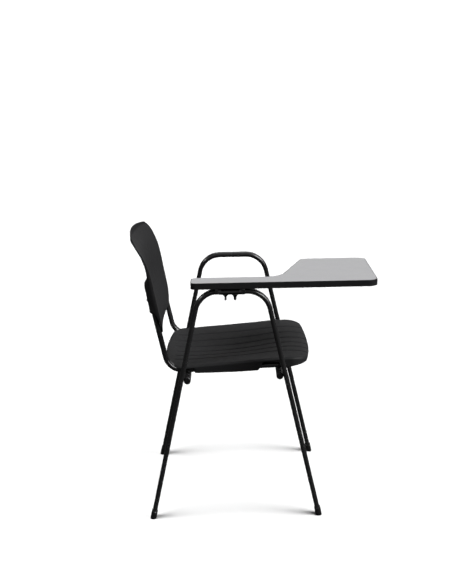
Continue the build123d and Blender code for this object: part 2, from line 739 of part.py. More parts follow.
with BuildPart() as hinge_leaf:
    with BuildSketch(Plane.XY.offset(LEAF_LOW)):
        with Locations((at(BRACKET_X), (LEAF_OUT_Y + LEAF_IN_Y) / 2)):
            Rectangle(LEAF_L, LEAF_IN_Y - LEAF_OUT_Y)
    extrude(amount=LEAF_T)
    for start_x in LEAF_KNUCKLES:
        add(knuckle(start_x, PIN_Y - KNUCKLE_R, BOARD_LOW, LEAF_LOW, LEAF_OUT_Y + 1, PIN_R + RUN))
    add(leaf_screws.part, mode=Mode.SUBTRACT)
save(hinge_leaf.part, "tablet_hinge_leaf")

SADDLE_W = 24.0
SADDLE_TOP = ARM_Z + TUBE_HALF + SADDLE_T
TONGUE_LAP = 4.0        # the knuckles' tongues run this far over the saddle's edge
TONGUE_END_Y = TONGUE_LAP - ARM_Y - SADDLE_W / 2
with BuildPart() as arm_saddle:
    with BuildSketch(arm_plane.offset(TUBE_HALF)):
        Rectangle(LEAF_L, SADDLE_W)
    extrude(amount=SADDLE_T)
    for start_x in ARM_KNUCKLES:
        add(knuckle(start_x, PIN_Y + KNUCKLE_R, SADDLE_TOP, SADDLE_TOP - SADDLE_T, TONGUE_END_Y, PIN_R))
    add(clamp_bolts.part, mode=Mode.SUBTRACT)
save(arm_saddle.part, "arm_saddle")

with BuildPart() as hinge_pin:
    with BuildSketch(Plane.YZ.offset(at(BRACKET_X - LEAF_L / 2 - KNUCKLE_GAP))):
        with Locations((PIN_Y, PIN_Z)):
            Circle(PIN_R)
    extrude(amount=LEAF_L + 2 * KNUCKLE_GAP)
    for end_x, way in ((BRACKET_X - LEAF_L / 2 - KNUCKLE_GAP, -1), (BRACKET_X + LEAF_L / 2 + KNUCKLE_GAP, 1)):
        with BuildSketch(Plane.YZ.offset(at(end_x))):
            with Locations((PIN_Y, PIN_Z)):
                Circle(PIN_HEAD_R)
        extrude(amount=way * PIN_HEAD_T)
save(hinge_pin.part, "hinge_pin")
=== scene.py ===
import json
import math

import bmesh
import bpy
import numpy as np
from mathutils import Matrix, Vector


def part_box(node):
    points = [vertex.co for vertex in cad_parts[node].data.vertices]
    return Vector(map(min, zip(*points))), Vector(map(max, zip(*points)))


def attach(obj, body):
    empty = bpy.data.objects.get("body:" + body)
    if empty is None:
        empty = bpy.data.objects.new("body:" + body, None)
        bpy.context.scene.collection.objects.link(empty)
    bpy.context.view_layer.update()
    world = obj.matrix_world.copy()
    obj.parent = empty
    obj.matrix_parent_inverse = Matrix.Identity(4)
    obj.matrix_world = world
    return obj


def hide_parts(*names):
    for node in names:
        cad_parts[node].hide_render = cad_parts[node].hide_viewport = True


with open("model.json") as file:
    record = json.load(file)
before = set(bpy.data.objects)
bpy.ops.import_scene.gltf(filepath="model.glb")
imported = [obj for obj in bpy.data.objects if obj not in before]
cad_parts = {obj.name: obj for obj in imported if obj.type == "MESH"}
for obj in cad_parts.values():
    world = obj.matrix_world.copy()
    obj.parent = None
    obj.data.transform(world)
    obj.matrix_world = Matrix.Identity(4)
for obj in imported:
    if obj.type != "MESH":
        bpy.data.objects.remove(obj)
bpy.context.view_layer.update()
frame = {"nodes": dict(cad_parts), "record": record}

# Lengths below are in millimetres, with x measured from the middle of the four feet.
MM = 0.001
SIDES = ("right", "left")
FOOT_CAPS = [f"foot_cap_{end}_{side}" for end in ("front", "rear") for side in SIDES]


def feet_middle():
    boxes = [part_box(cap) for cap in FOOT_CAPS]
    low_x = min(low.x for low, high in boxes)
    high_x = max(high.x for low, high in boxes)
    return (low_x + high_x) / 2


FEET_X = feet_middle()


def to_frame(points):
    """Chair millimetres to the frame's metres."""
    return np.asarray(points, float) * MM + np.array((FEET_X, 0.0, 0.0))


def from_frame(x):
    """A frame x in metres to chair millimetres."""
    return (x - FEET_X) / MM


def add_object(name, data):
    thing = bpy.data.objects.new(name, data)
    bpy.context.scene.collection.objects.link(thing)
    return thing


# ---------------------------------------------------------------- camera
# Place in metres from the middle of the feet, angles in degrees, lens and sensor in millimetres.
CAMERA_FROM_FEET = Vector((0.027, -3.893, 1.5115))
CAMERA_YAW = 0.61
CAMERA_PITCH = 12.97
CAMERA_ROLL = -1.04
CAMERA_LENS = 82.81
SENSOR = 36.0
SHIFT = (-0.0493, -0.0099)


def make_camera():
    data = bpy.data.cameras.new("camera")
    data.sensor_fit = "AUTO"
    data.sensor_width = SENSOR
    data.lens = CAMERA_LENS
    data.shift_x, data.shift_y = SHIFT
    camera = add_object("camera", data)
    yaw, pitch, roll = (math.radians(a) for a in (CAMERA_YAW, CAMERA_PITCH, CAMERA_ROLL))
    forward = Vector((math.sin(yaw) * math.cos(pitch), math.cos(yaw) * math.cos(pitch), -math.sin(pitch)))
    level = Vector((math.cos(yaw), -math.sin(yaw), 0))
    upright = level.cross(forward)
    right = level * math.cos(roll) + upright * math.sin(roll)
    up = upright * math.cos(roll) - level * math.sin(roll)
    turn = Matrix((right, up, -forward)).transposed().to_4x4()
    place = Vector((FEET_X, 0, 0)) + CAMERA_FROM_FEET
    camera.matrix_world = Matrix.Translation(place) @ turn
    bpy.context.scene.camera = camera


# ---------------------------------------------------------------- studio
# Lengths in metres.
FLOOR_SIZE = 400.0
BACKDROP_RADIUS = 180.0
BACKDROP_HEIGHT = 240.0
BACKDROP_SIDES = 48
PAPER = 0.30
WORLD_LIGHT = 0.05
# Name, direction to the light (x, y, z), strength, angular size in degrees.
SUNS = (
    ("dome", (0.0, 0.0, 1.0), 0.36, 130.0),
    ("key", (0.95, -0.4, 1.0), 3.0, 28.0),
    ("back", (0.2, 1.0, 0.32), 0.12, 40.0),
    ("left", (-1.0, -0.15, 0.8), 0.6, 10.0),
    ("right", (1.0, -0.25, 0.45), 0.6, 12.0),
)
FLOOR_SUN = ("floor_wash", (0.0, -0.06, 1.0), 9.4, 17.0)
FLOOR_SHADOW_CASTERS = [f"side_frame_{side}" for side in SIDES] + FOOT_CAPS


def stage_material(name, reflect, emit):
    """Matt white that reflects and shines by these shares."""
    material = bpy.data.materials.new(name)
    material.use_nodes = True
    shader = material.node_tree.nodes["Principled BSDF"]
    shader.inputs["Base Color"].default_value = (reflect, reflect, reflect, 1)
    shader.inputs["Roughness"].default_value = 1.0
    shader.inputs["Specular IOR Level"].default_value = 0.0
    shader.inputs["Emission Color"].default_value = (1, 1, 1, 1)
    shader.inputs["Emission Strength"].default_value = emit
    return material


def stage_piece(name, points, faces, material):
    """Scenery that throws no light back at the chair."""
    mesh = bpy.data.meshes.new(name)
    mesh.from_pydata(points, [], faces)
    mesh.materials.append(material)
    piece = add_object(name, mesh)
    piece.visible_diffuse = False
    piece.visible_glossy = False
    return piece


def make_floor():
    half = FLOOR_SIZE / 2
    corners = [(-half, -half, 0), (half, -half, 0), (half, half, 0), (-half, half, 0)]
    return stage_piece("floor", corners, [(0, 1, 2, 3)], stage_material("paper", PAPER, 0.0))


def make_backdrop():
    """White wall round the floor, seen by the camera only."""
    turns = [2 * math.pi * i / BACKDROP_SIDES for i in range(BACKDROP_SIDES)]
    circle = [(BACKDROP_RADIUS * math.cos(t), BACKDROP_RADIUS * math.sin(t)) for t in turns]
    points = [(x, y, z) for z in (-1.0, BACKDROP_HEIGHT) for x, y in circle]
    white = stage_material("backdrop_white", 0.0, 1.0)
    wall = stage_piece("backdrop", points, ring_faces(2, BACKDROP_SIDES), white)
    wall.visible_shadow = False


def make_world():
    world = bpy.data.worlds.new("studio")
    world.use_nodes = True
    sky = world.node_tree.nodes["Background"]
    sky.inputs["Color"].default_value = (1, 1, 1, 1)
    sky.inputs["Strength"].default_value = WORLD_LIGHT
    bpy.context.scene.world = world


def sun(name, toward, strength, size):
    data = bpy.data.lights.new(name, "SUN")
    data.energy = strength
    data.angle = math.radians(size)
    light = add_object(name, data)
    light.rotation_euler = Vector(toward).to_track_quat("Z", "Y").to_euler()
    return light


def linked(name, objects):
    group = bpy.data.collections.new(name)
    for thing in objects:
        group.objects.link(thing)
    return group


def make_studio():
    """Soft lights on the chair, and one that whitens the floor and shadows only legs and feet there."""
    floor = make_floor()
    make_backdrop()
    make_world()
    for settings in SUNS:
        sun(*settings)
    wash = sun(*FLOOR_SUN)
    wash.light_linking.receiver_collection = linked("floor_wash_lights", [floor])
    casters = [frame["nodes"][name] for name in FLOOR_SHADOW_CASTERS]
    wash.light_linking.blocker_collection = linked("floor_wash_shadows", casters)
    bpy.context.scene.view_settings.view_transform = "Standard"


# ---------------------------------------------------------------- materials
class Nodes:
    """A material's node tree, with short calls for the nodes used here."""

    def __init__(self, name):
        self.material = bpy.data.materials.new(name)
        self.material.use_nodes = True
        self.tree = self.material.node_tree
        self.shader = self.tree.nodes["Principled BSDF"]
        self.place = self.tree.nodes.new("ShaderNodeTexCoord").outputs["Object"]

    def join(self, value, socket):
        if hasattr(value, "is_output"):
            self.tree.links.new(value, socket)
        else:
            socket.default_value = value

    def stretched(self, stretch):
        node = self.tree.nodes.new("ShaderNodeMapping")
        node.inputs["Scale"].default_value = stretch
        self.tree.links.new(self.place, node.inputs["Vector"])
        return node.outputs["Vector"]

    def noise(self, scale, detail=4.0, rough=0.55, stretch=None):
        node = self.tree.nodes.new("ShaderNodeTexNoise")
        node.inputs["Scale"].default_value = scale
        node.inputs["Detail"].default_value = detail
        node.inputs["Roughness"].default_value = rough
        self.tree.links.new(self.stretched(stretch) if stretch else self.place, node.inputs["Vector"])
        return node.outputs["Fac"]

    def cells(self, scale):
        node = self.tree.nodes.new("ShaderNodeTexVoronoi")
        node.inputs["Scale"].default_value = scale
        self.tree.links.new(self.place, node.inputs["Vector"])
        return node.outputs["Distance"]

    def spread(self, value, low, high, to_low=0.0, to_high=1.0):
        node = self.tree.nodes.new("ShaderNodeMapRange")
        node.interpolation_type = "SMOOTHSTEP"
        for socket, number in zip(node.inputs[1:5], (low, high, to_low, to_high)):
            socket.default_value = number
        self.tree.links.new(value, node.inputs["Value"])
        return node.outputs["Result"]

    def math(self, operation, a, b):
        node = self.tree.nodes.new("ShaderNodeMath")
        node.operation = operation
        self.join(a, node.inputs[0])
        self.join(b, node.inputs[1])
        return node.outputs[0]

    def mix(self, share, a, b):
        node = self.tree.nodes.new("ShaderNodeMix")
        node.data_type = "RGBA"
        self.join(share, node.inputs["Factor"])
        self.join(a if hasattr(a, "is_output") else (*a, 1), node.inputs[6])
        self.join(b if hasattr(b, "is_output") else (*b, 1), node.inputs[7])
        return node.outputs[2]

    def edges(self, radius):
        """1 along convex and concave edges, 0 on open surfaces."""
        bevel = self.tree.nodes.new("ShaderNodeBevel")
        bevel.samples = 4
        bevel.inputs["Radius"].default_value = radius
        geometry = self.tree.nodes.new("ShaderNodeNewGeometry")
        dot = self.tree.nodes.new("ShaderNodeVectorMath")
        dot.operation = "DOT_PRODUCT"
        self.tree.links.new(bevel.outputs["Normal"], dot.inputs[0])
        self.tree.links.new(geometry.outputs["Normal"], dot.inputs[1])
        return self.spread(dot.outputs["Value"], 0.6, 0.92, 1.0, 0.0)

    def bump(self, height, strength, distance, under=None):
        node = self.tree.nodes.new("ShaderNodeBump")
        node.inputs["Strength"].default_value = strength
        node.inputs["Distance"].default_value = distance
        self.tree.links.new(height, node.inputs["Height"])
        if under:
            self.tree.links.new(under, node.inputs["Normal"])
        return node.outputs["Normal"]

    def set(self, **values):
        for name, value in values.items():
            self.join(value, self.shader.inputs[name.replace("_", " ")])
        return self.material


def tint(colour, factor):
    return tuple(min(1.0, c * factor) for c in colour)


def powder_coat(name, colour, rough, specular):
    """Satin black paint with orange peel, slightly worn along edges."""
    n = Nodes(name)
    mottle = n.spread(n.noise(9.0), 0.35, 0.65)
    paint = n.mix(mottle, tint(colour, 0.88), tint(colour, 1.14))
    wear = n.math("MULTIPLY", n.edges(0.0012), n.spread(n.noise(160.0), 0.5, 0.68))
    scuffs = n.math("MULTIPLY", n.spread(n.noise(38.0, stretch=(1, 1, 0.2)), 0.66, 0.74), 0.2)
    marked = n.mix(n.math("MAXIMUM", n.math("MULTIPLY", wear, 0.5), scuffs), paint, tint(colour, 3.2))
    sheen = n.spread(n.noise(55.0), 0.3, 0.7, rough - 0.03, rough + 0.04)
    peel = n.bump(n.noise(620.0, detail=2.0), 0.12, 0.0006)
    n.shader.inputs["Specular IOR Level"].default_value = specular
    return n.set(Base_Color=marked, Roughness=sheen, Normal=peel)


def moulded(name, colour, rough, specular, grain=0.25, scuff=0.12):
    """Moulded plastic: fine spark-eroded grain, faint flow marks and scuffs, and a painted highlight along
    every edge.
    """
    n = Nodes(name)
    cloud = n.spread(n.noise(5.0, detail=6.0), 0.3, 0.7)
    body = n.mix(cloud, tint(colour, 0.93), tint(colour, 1.08))
    rub = n.math("MULTIPLY", n.spread(n.noise(13.0, detail=6.0), 0.6, 0.78), scuff)
    # Painted highlight: every convex and concave edge is drawn a quarter of the way towards twice the base
    # colour.
    painted_edge_highlight = n.math("MULTIPLY", n.edges(0.0015), 0.25)
    shade = n.mix(n.math("MAXIMUM", rub, painted_edge_highlight), body, tint(colour, 2.0))
    sheen = n.spread(n.noise(70.0), 0.3, 0.7, rough - 0.03, rough + 0.03)
    pores = n.bump(n.cells(1400.0), grain, 0.0002)
    soft = n.bump(n.noise(260.0), grain * 0.5, 0.0005, under=pores)
    n.shader.inputs["Specular IOR Level"].default_value = specular
    return n.set(Base_Color=shade, Roughness=sheen, Normal=soft)


def bare_metal(name, colour, rough):
    """Plated steel with rolling marks and dull spots."""
    n = Nodes(name)
    dull = n.spread(n.noise(120.0), 0.4, 0.7)
    plate = n.mix(dull, colour, tint(colour, 0.6))
    sheen = n.spread(n.noise(300.0, stretch=(1, 1, 0.1)), 0.3, 0.7, rough - 0.08, rough + 0.12)
    marks = n.bump(n.noise(900.0, stretch=(1, 1, 0.15)), 0.15, 0.0003)
    n.shader.inputs["Metallic"].default_value = 1.0
    return n.set(Base_Color=plate, Roughness=sheen, Normal=marks)


def laminate(name, colour):
    """Light grey laminate: fine speckle, faint smudges, satin press-plate texture."""
    n = Nodes(name)
    speckle = n.spread(n.noise(1500.0, detail=2.0), 0.35, 0.65)
    fleck = n.mix(speckle, tint(colour, 0.93), tint(colour, 1.05))
    smudge = n.math("MULTIPLY", n.spread(n.noise(6.0, detail=5.0), 0.45, 0.75), 0.18)
    top = n.mix(smudge, fleck, tint(colour, 0.86))
    sheen = n.spread(n.noise(14.0), 0.3, 0.7, 0.42, 0.55)
    press = n.bump(n.noise(1100.0, detail=3.0), 0.08, 0.0002)
    n.shader.inputs["Specular IOR Level"].default_value = 0.35
    return n.set(Base_Color=top, Roughness=sheen, Normal=press)


def particle_board(name, colour):
    """Raw chipboard: light and dark chips, gritty."""
    n = Nodes(name)
    chips = n.spread(n.cells(330.0), 0.1, 0.6)
    wood = n.mix(chips, tint(colour, 0.6), tint(colour, 1.3))
    grit = n.bump(n.noise(700.0), 0.4, 0.0005)
    return n.set(Base_Color=wood, Roughness=n.spread(n.noise(200.0), 0.3, 0.7, 0.8, 0.95), Normal=grit)


FRAME_BLACK = (0.016, 0.016, 0.0165)
SHELL_BLACK = (0.0165, 0.0165, 0.0175)
LOOKS = {
    "frame_paint": powder_coat("powder_coat", FRAME_BLACK, 0.24, 0.8),
    "bracket_paint": powder_coat("bracket_coat", FRAME_BLACK, 0.45, 0.3),
    "nut_finish": powder_coat("nut_coat", (0.012, 0.012, 0.012), 0.42, 0.45),
    "cap_plastic": moulded("cap_plastic", (0.010, 0.010, 0.010), 0.22, 0.7, grain=0.12, scuff=0.3),
    "shell_plastic": moulded("shell_plastic", SHELL_BLACK, 0.6, 0.32),
    "edge_band": moulded("edge_band", (0.016, 0.016, 0.017), 0.45, 0.35, grain=0.15),
    "zinc_steel": bare_metal("zinc_plate", (0.55, 0.55, 0.54), 0.35),
    "writing_laminate": laminate("writing_laminate", (0.49, 0.49, 0.50)),
    "backing_laminate": laminate("backing_laminate", (0.33, 0.33, 0.33)),
    "board_core": particle_board("particle_board", (0.42, 0.31, 0.19)),
}


def dress_frame():
    """Give every CAD node the look of its material slot."""
    for part in frame["record"]["subparts"]:
        node = frame["nodes"][part["node"]]
        look = LOOKS[part["material_slot"]]
        for holder in node.material_slots:
            holder.material = look


# ---------------------------------------------------------------- mesh helpers
SHARP_ANGLE = 38.0


def ring_faces(rows, count, start=0):
    """Quads between neighbouring closed rings of points."""
    faces = []
    for row in range(rows - 1):
        a = start + row * count
        for i in range(count):
            j = (i + 1) % count
            faces.append((a + i, a + j, a + count + j, a + count + i))
    return faces


def ring_solid(rings):
    """Points and faces of a closed skin over rings, with a point at each end's middle."""
    rings = np.asarray(rings, float)
    rows, count = rings.shape[:2]
    points = np.concatenate([rings.reshape(-1, 3), [rings[0].mean(0), rings[-1].mean(0)]])
    faces = ring_faces(rows, count)
    first, last = rows * count, rows * count + 1
    end = (rows - 1) * count
    for i in range(count):
        j = (i + 1) % count
        faces.append((first, j, i))
        faces.append((last, end + i, end + j))
    return points, faces


def build(name, solids, slot, body="frame", replaced=()):
    """One object from several closed skins, smooth, riding on a body."""
    points, faces = [], []
    for some_points, some_faces in solids:
        shift = sum(len(p) for p in points)
        points.append(some_points)
        faces += [tuple(v + shift for v in face) for face in some_faces]
    mesh = bpy.data.meshes.new(name)
    mesh.from_pydata(to_frame(np.concatenate(points)).tolist(), [], faces)
    mesh.validate()
    mesh.shade_smooth()
    mesh.materials.append(LOOKS[slot])
    piece = add_object(name, mesh)
    tidy_normals(mesh)
    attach(piece, body)
    if replaced:
        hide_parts(*replaced)
    return piece


def tidy_normals(mesh):
    """Turn all faces outwards and keep hard edges hard."""
    work = bmesh.new()
    work.from_mesh(mesh)
    bmesh.ops.recalc_face_normals(work, faces=work.faces)
    work.to_mesh(mesh)
    work.free()
    mesh.set_sharp_from_angle(angle=math.radians(SHARP_ANGLE))


def curve_through(points):
    """A smooth height curve through a few points, as a function of x."""
    xs, zs = (np.array(column, float) for column in zip(*points))
    slopes = np.gradient(zs, xs)

    def height(x):
        x = np.clip(x, xs[0], xs[-1])
        k = np.clip(np.searchsorted(xs, x) - 1, 0, len(xs) - 2)
        span = xs[k + 1] - xs[k]
        t = (x - xs[k]) / span
        return (
            zs[k] * (1 + 2 * t) * (1 - t) ** 2
            + slopes[k] * span * t * (1 - t) ** 2
            + zs[k + 1] * t * t * (3 - 2 * t)
            + slopes[k + 1] * span * t * t * (t - 1)
        )

    return height


def ease(value, low, high):
    """0 below low, 1 above high, smooth between."""
    share = np.clip((value - low) / (high - low), 0, 1)
    return share * share * (3 - 2 * share)


def rounded(a, b, radius):
    """Signed distance outside two edges that meet in a rounded corner."""
    u, v = a + radius, b + radius
    return np.hypot(np.maximum(u, 0), np.maximum(v, 0)) + np.minimum(np.maximum(u, v), 0) - radius


def inset_ring(distance, centre, turns, inset):
    """Points round centre, at the given angles, where the outline's distance is -inset."""
    low = np.zeros_like(turns)
    high = np.full_like(turns, 500.0)
    for _ in range(40):
        reach = (low + high) / 2
        outside = distance(centre[0] + reach * np.cos(turns), centre[1] + reach * np.sin(turns)) > -inset
        high = np.where(outside, reach, high)
        low = np.where(outside, low, reach)
    return np.stack([centre[0] + low * np.cos(turns), centre[1] + low * np.sin(turns)], axis=1)


def even_turns(distance, centre, count):
    """Angles whose points on the outline are evenly spaced."""
    fine = np.linspace(0, 2 * math.pi, 4001)
    outline = inset_ring(distance, centre, fine, 0.0)
    walk = np.concatenate([[0], np.cumsum(np.linalg.norm(np.diff(outline, axis=0), axis=1))])
    return np.interp(np.arange(count) / count * walk[-1], walk, fine)


def turned_solid(centre, axis, profile, sides=64):
    """A solid of revolution: profile is (distance along the axis, radius)."""
    axis = np.asarray(Vector(axis).normalized())
    side = np.cross(axis, (0.31, 0.87, 0.22))
    side /= np.linalg.norm(side)
    over = np.cross(axis, side)
    turn = np.linspace(0, 2 * math.pi, sides, endpoint=False)
    circle = np.outer(np.cos(turn), side) + np.outer(np.sin(turn), over)
    rings = [np.asarray(centre) + axis * along + circle * radius for along, radius in profile]
    return ring_solid(rings)


# ---------------------------------------------------------------- seat shell
SEAT_LOW, SEAT_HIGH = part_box("seat_shell")
SEAT_REAR = from_frame(SEAT_LOW.x)
SEAT_FRONT = from_frame(SEAT_HIGH.x)
SEAT_HALF = SEAT_HIGH.y / MM
SEAT_CENTRE = (13.0, 0.0)
SEAT_POINTS = 840
SEAT_CORNER = 42.0
SEAT_ROLL = 7.0
SEAT_SKIN = 4.5
SKIRT_SKIN = 3.5
DISH_HALF = 212.0
TOP_FIELD = 16.0
UNDER_FIELD = 22.0
SEAT_LINE = curve_through([
    (SEAT_REAR - 5, 438.0), (-150, 435.5), (-73, 440.0), (53, 449.0),
    (140, 455.5), (180, 455.0), (207, 450.5), (SEAT_FRONT + 5, 442.0),
])
SEAT_HOLLOW = curve_through([
    (SEAT_REAR - 5, 3.5), (-157, 9.4), (-100, 13.5), (-40, 15.6), (20, 15.2),
    (60, 13.0), (110, 9.2), (150, 7.4), (190, 6.4), (SEAT_FRONT + 5, 6.0),
])
SKIRT_LOW = curve_through([(SEAT_REAR - 5, 413.0), (150, 426.5), (SEAT_FRONT + 5, 438.5)])
LEG_JOINT_TUCK = 1.6
REAR_NOTCH_TOP = 424.0
RAIL_NOTCH_TOP = 431.5
LEG_NOTCH_TOP = 442.5
GROOVES = (27.0, 81.0, 135.0)
GROOVE_DEPTH = 2.8
GROOVE_WIDTH = 3.6
GROOVE_STEPS = np.array((-5.2, -3.6, -2.5, -1.6, -0.8, 0.0, 0.8, 1.6, 2.5, 3.6, 5.2))
GROOVE_START = -174.0
# The tabs' upper faces over the middle of the feet; they rise forwards with the rails.
TAB_TOP = 422.2
RAIL_RISE = 0.035
BOSS_INSET_X = 15.0
BOSS_INSET_Y = 14.0
RIB_DEPTH = 7.0
RIB_WIDTH = 2.2


def seat_outline(x, y):
    front = SEAT_FRONT - 18 * (y / SEAT_HALF) ** 2
    rear = SEAT_REAR + 20 * (y / SEAT_HALF) ** 2
    return rounded(np.abs(y) - SEAT_HALF, np.maximum(x - front, rear - x), SEAT_CORNER)


def seat_height(x, y):
    hollow = SEAT_HOLLOW(x) * (1 + np.cos(math.pi * np.clip(y / DISH_HALF, -1, 1))) / 2
    return SEAT_LINE(x) - hollow


def groove_depth(x, y):
    depth = sum(np.exp(-(((np.abs(y) - g) / GROOVE_WIDTH) ** 2)) for g in GROOVES)
    return GROOVE_DEPTH * depth * ease(x, GROOVE_START, GROOVE_START + 10)


def skirt_tuck(x, y):
    """How far the skirt curves in beside the legs, below the rolled edge."""
    side = ease(np.abs(y), 190, 206)
    rear = 1 - ease(x, -118, -100)
    front = ease(x, 52, 92) * (1 - ease(x, 134, 150))
    return LEG_JOINT_TUCK * (rear + front) * side


def skirt_low(x, y):
    """Lower edge of the skirt, raised at the rear, where the rails enter and beside the front legs."""
    side = ease(np.abs(y), 176, 184)
    rear = 1 - ease(x, -116, -107)
    back = 1 - ease(x, -178, -160)
    front = ease(x, 70, 88) * (1 - ease(x, 131, 139)) * ease(np.abs(y), 192, 202)
    low = SKIRT_LOW(x)
    low = low + (REAR_NOTCH_TOP - low) * back * (1 - side)
    low = low + (RAIL_NOTCH_TOP - low) * rear * side
    low = low + (LEG_NOTCH_TOP - low) * front
    return np.minimum(low, seat_height(x, y) - SEAT_ROLL - 1.2)


def seat_top(x, y):
    return seat_height(x, y) - groove_depth(x, y)


def seat_under(x, y):
    return seat_height(x, y) - SEAT_SKIN


def seat_skin():
    """The shell as one closed skin: top, rolled edge, skirt, and back below to the middle."""
    turns = even_turns(seat_outline, SEAT_CENTRE, SEAT_POINTS)
    centre = np.array(SEAT_CENTRE)

    def ring(inset, height, share=1.0):
        plan = centre + (inset_ring(seat_outline, SEAT_CENTRE, turns, inset) - centre) * share
        x, y = plan.T
        return np.column_stack([x, y, height(x, y)])

    def wall(inset, brow, lift, share):
        """A ring on the skirt, this share of the way from its brow to its lower edge."""
        return ring(inset, lambda x, y: brow + (skirt_low(x, y) + lift - brow) * share)

    near_grooves = [(g + GROOVE_STEPS) / (SEAT_HALF - TOP_FIELD) for g in GROOVES]
    shares = np.unique(np.concatenate([np.linspace(0.012, 1, 78), *near_grooves]).round(3))
    rings = [ring(TOP_FIELD, seat_top, share) for share in shares]
    rings += [ring(inset, seat_top) for inset in (13.5, 11.0, 9.0)]
    for turn in np.radians(np.linspace(0, 90, 9)):
        drop = SEAT_ROLL * (1 - math.cos(turn))
        fade = math.cos(turn)
        rings.append(ring(
            SEAT_ROLL * (1 - math.sin(turn)),
            lambda x, y: seat_height(x, y) - groove_depth(x, y) * fade - drop,
        ))
    brow = rings[-1][:, 2]
    tuck = skirt_tuck(*rings[-1][:, :2].T)
    for share in (0.08, 0.18, 0.3, 0.45, 0.6, 0.75, 0.9):
        rings.append(wall(tuck * ease(share, 0, 0.5), brow, 0.9, share))
    lip = ((0.0, 0.9), (0.25, 0.3), (0.9, 0.0), (SKIRT_SKIN - 0.9, 0.0), (SKIRT_SKIN - 0.25, 0.3))
    for inset, lift in lip:
        rings.append(ring(tuck + inset, lambda x, y: skirt_low(x, y) + lift))
    inside = SKIRT_SKIN + tuck
    inner_brow = ring(inside, lambda x, y: seat_height(x, y) - SEAT_ROLL)[:, 2]
    for share in (1.0, 0.7, 0.4, 0.0):
        rings.append(wall(inside, inner_brow, 1.0, share))
    rings.append(ring(inside + 1.0, lambda x, y: seat_under(x, y) - 0.8))
    rings.append(ring(inside + 3.0, seat_under))
    rings += [ring(UNDER_FIELD, seat_under, share) for share in np.linspace(1, 0.012, 44)]
    return ring_solid(rings)


def seat_bosses():
    """Four screw bosses, each standing on a steel tab of the frame."""
    low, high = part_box("seat_tabs")
    bosses = []
    for x in (from_frame(low.x) + BOSS_INSET_X, from_frame(high.x) - BOSS_INSET_X):
        for y in (low.y / MM + BOSS_INSET_Y, high.y / MM - BOSS_INSET_Y):
            foot = TAB_TOP + RAIL_RISE * x
            reach = float(seat_under(np.array(x), np.array(y))) + 1.0 - foot
            profile = [(0.05, 5.6), (0.6, 6.4), (reach - 3, 6.6), (reach - 1, 7.4), (reach, 9.0)]
            bosses.append(turned_solid((x, y, foot), (0, 0, 1), profile))
    return bosses


def seat_ribs():
    """Thin stiffening ribs below the seat, along and across."""
    ribs = []
    for y in (-96.0, -32.0, 32.0, 96.0):
        ribs.append(rib([(x, y) for x in np.linspace(-128, 128, 60)]))
    for x in (-100.0, -30.0, 40.0, 104.0):
        ribs.append(rib([(x, y) for y in np.linspace(-150, 150, 60)]))
    return ribs


def seat_shell():
    solids = [seat_skin(), *seat_bosses(), *seat_ribs()]
    build("seat_shell_moulding", solids, "shell_plastic", replaced=["seat_shell"])


def rib(line):
    """A rib hanging below the seat along a line, shallow at its ends."""
    plan = np.array(line, float)
    along = plan[-1] - plan[0]
    side = np.array((-along[1], along[0])) / np.hypot(*along)
    ends = np.minimum(1, np.minimum(np.arange(len(plan)), np.arange(len(plan))[::-1]) / 6)
    rings = []
    for (x, y), grow in zip(plan, ends):
        top = float(seat_under(np.array(x), np.array(y))) + 0.6
        low = top - 1.2 - RIB_DEPTH * (0.15 + 0.85 * grow)
        shape = [(-0.65, top), (-0.5, low + 0.5), (-0.3, low), (0.3, low), (0.5, low + 0.5), (0.65, top)]
        rings.append([(*(np.array((x, y)) + side * s * RIB_WIDTH), z) for s, z in shape])
    return ring_solid(rings)


# ---------------------------------------------------------------- backrest shell
BACK_LOW, BACK_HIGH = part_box("backrest_shell")
BACK_HALF = BACK_HIGH.y / MM
BACK_BOTTOM = BACK_LOW.z / MM
BACK_CROWN = 797.0
BACK_SHOULDER = 779.0
BACK_CENTRE = (0.0, 660.0)
BACK_POINTS = 760
BACK_SHEET = 3.4
BACK_EDGE_X = -192.1
BACK_LEAN = 0.176
BACK_FLARE = 0.0022
BACK_FLARE_Z = 680.0
BACK_UPRIGHT_Z = 778.0
BACK_LOW_CORNER = 66.0
BACK_TOP_CORNER = 30.0
WRAP_HALF = 224.0
# How deep the sheet curves round the sitter's back: at the bottom, and what it gains between two heights.
WRAP_LOW = 13.0
WRAP_GAINS = ((15.0, 522, 665), (4.0, 728, 776))
RAIL_Y = 200.0
# Rail centre inside the sleeve: height and x at the shoulder and at the top.
RAIL_UPRIGHT = ((585.0, -218.6), (667.0, -233.4))
SLEEVE_BOTTOM = 591.6
SLEEVE_SHOULDER = 676.0
SLEEVE_TOP = 692.0
# Heights, and how far the side wall reaches to the rear there.
WALL_HEIGHTS = (560, 592, 640, 698, 717, 736, 757)
WALL_DEPTHS = (1.0, 12.0, 13.0, 10.7, 7.6, 4.7, 0.6)


def back_edge(z):
    """x of the side edges: leaning back, flared near the top, then upright."""
    leaning = np.minimum(z, BACK_UPRIGHT_Z)
    flare = BACK_FLARE * np.maximum(0, leaning - BACK_FLARE_Z) ** 2
    return BACK_EDGE_X - BACK_LEAN * (leaning - BACK_BOTTOM) - flare


def back_face(y, z):
    """x of the sitter's side."""
    wrap = WRAP_LOW + sum(gain * ease(z, low, high) for gain, low, high in WRAP_GAINS)
    return back_edge(z) - wrap * (1 - (y / WRAP_HALF) ** 2)


def back_outline(y, z):
    crown = BACK_CROWN - (BACK_CROWN - BACK_SHOULDER) * (y / BACK_HALF) ** 2
    side = np.abs(y) - BACK_HALF
    lower = rounded(side, BACK_BOTTOM - z, BACK_LOW_CORNER)
    upper = rounded(side, z - crown, BACK_TOP_CORNER)
    return np.maximum(lower, upper)


def rail_centre(z):
    return np.interp(z, *zip(*RAIL_UPRIGHT))


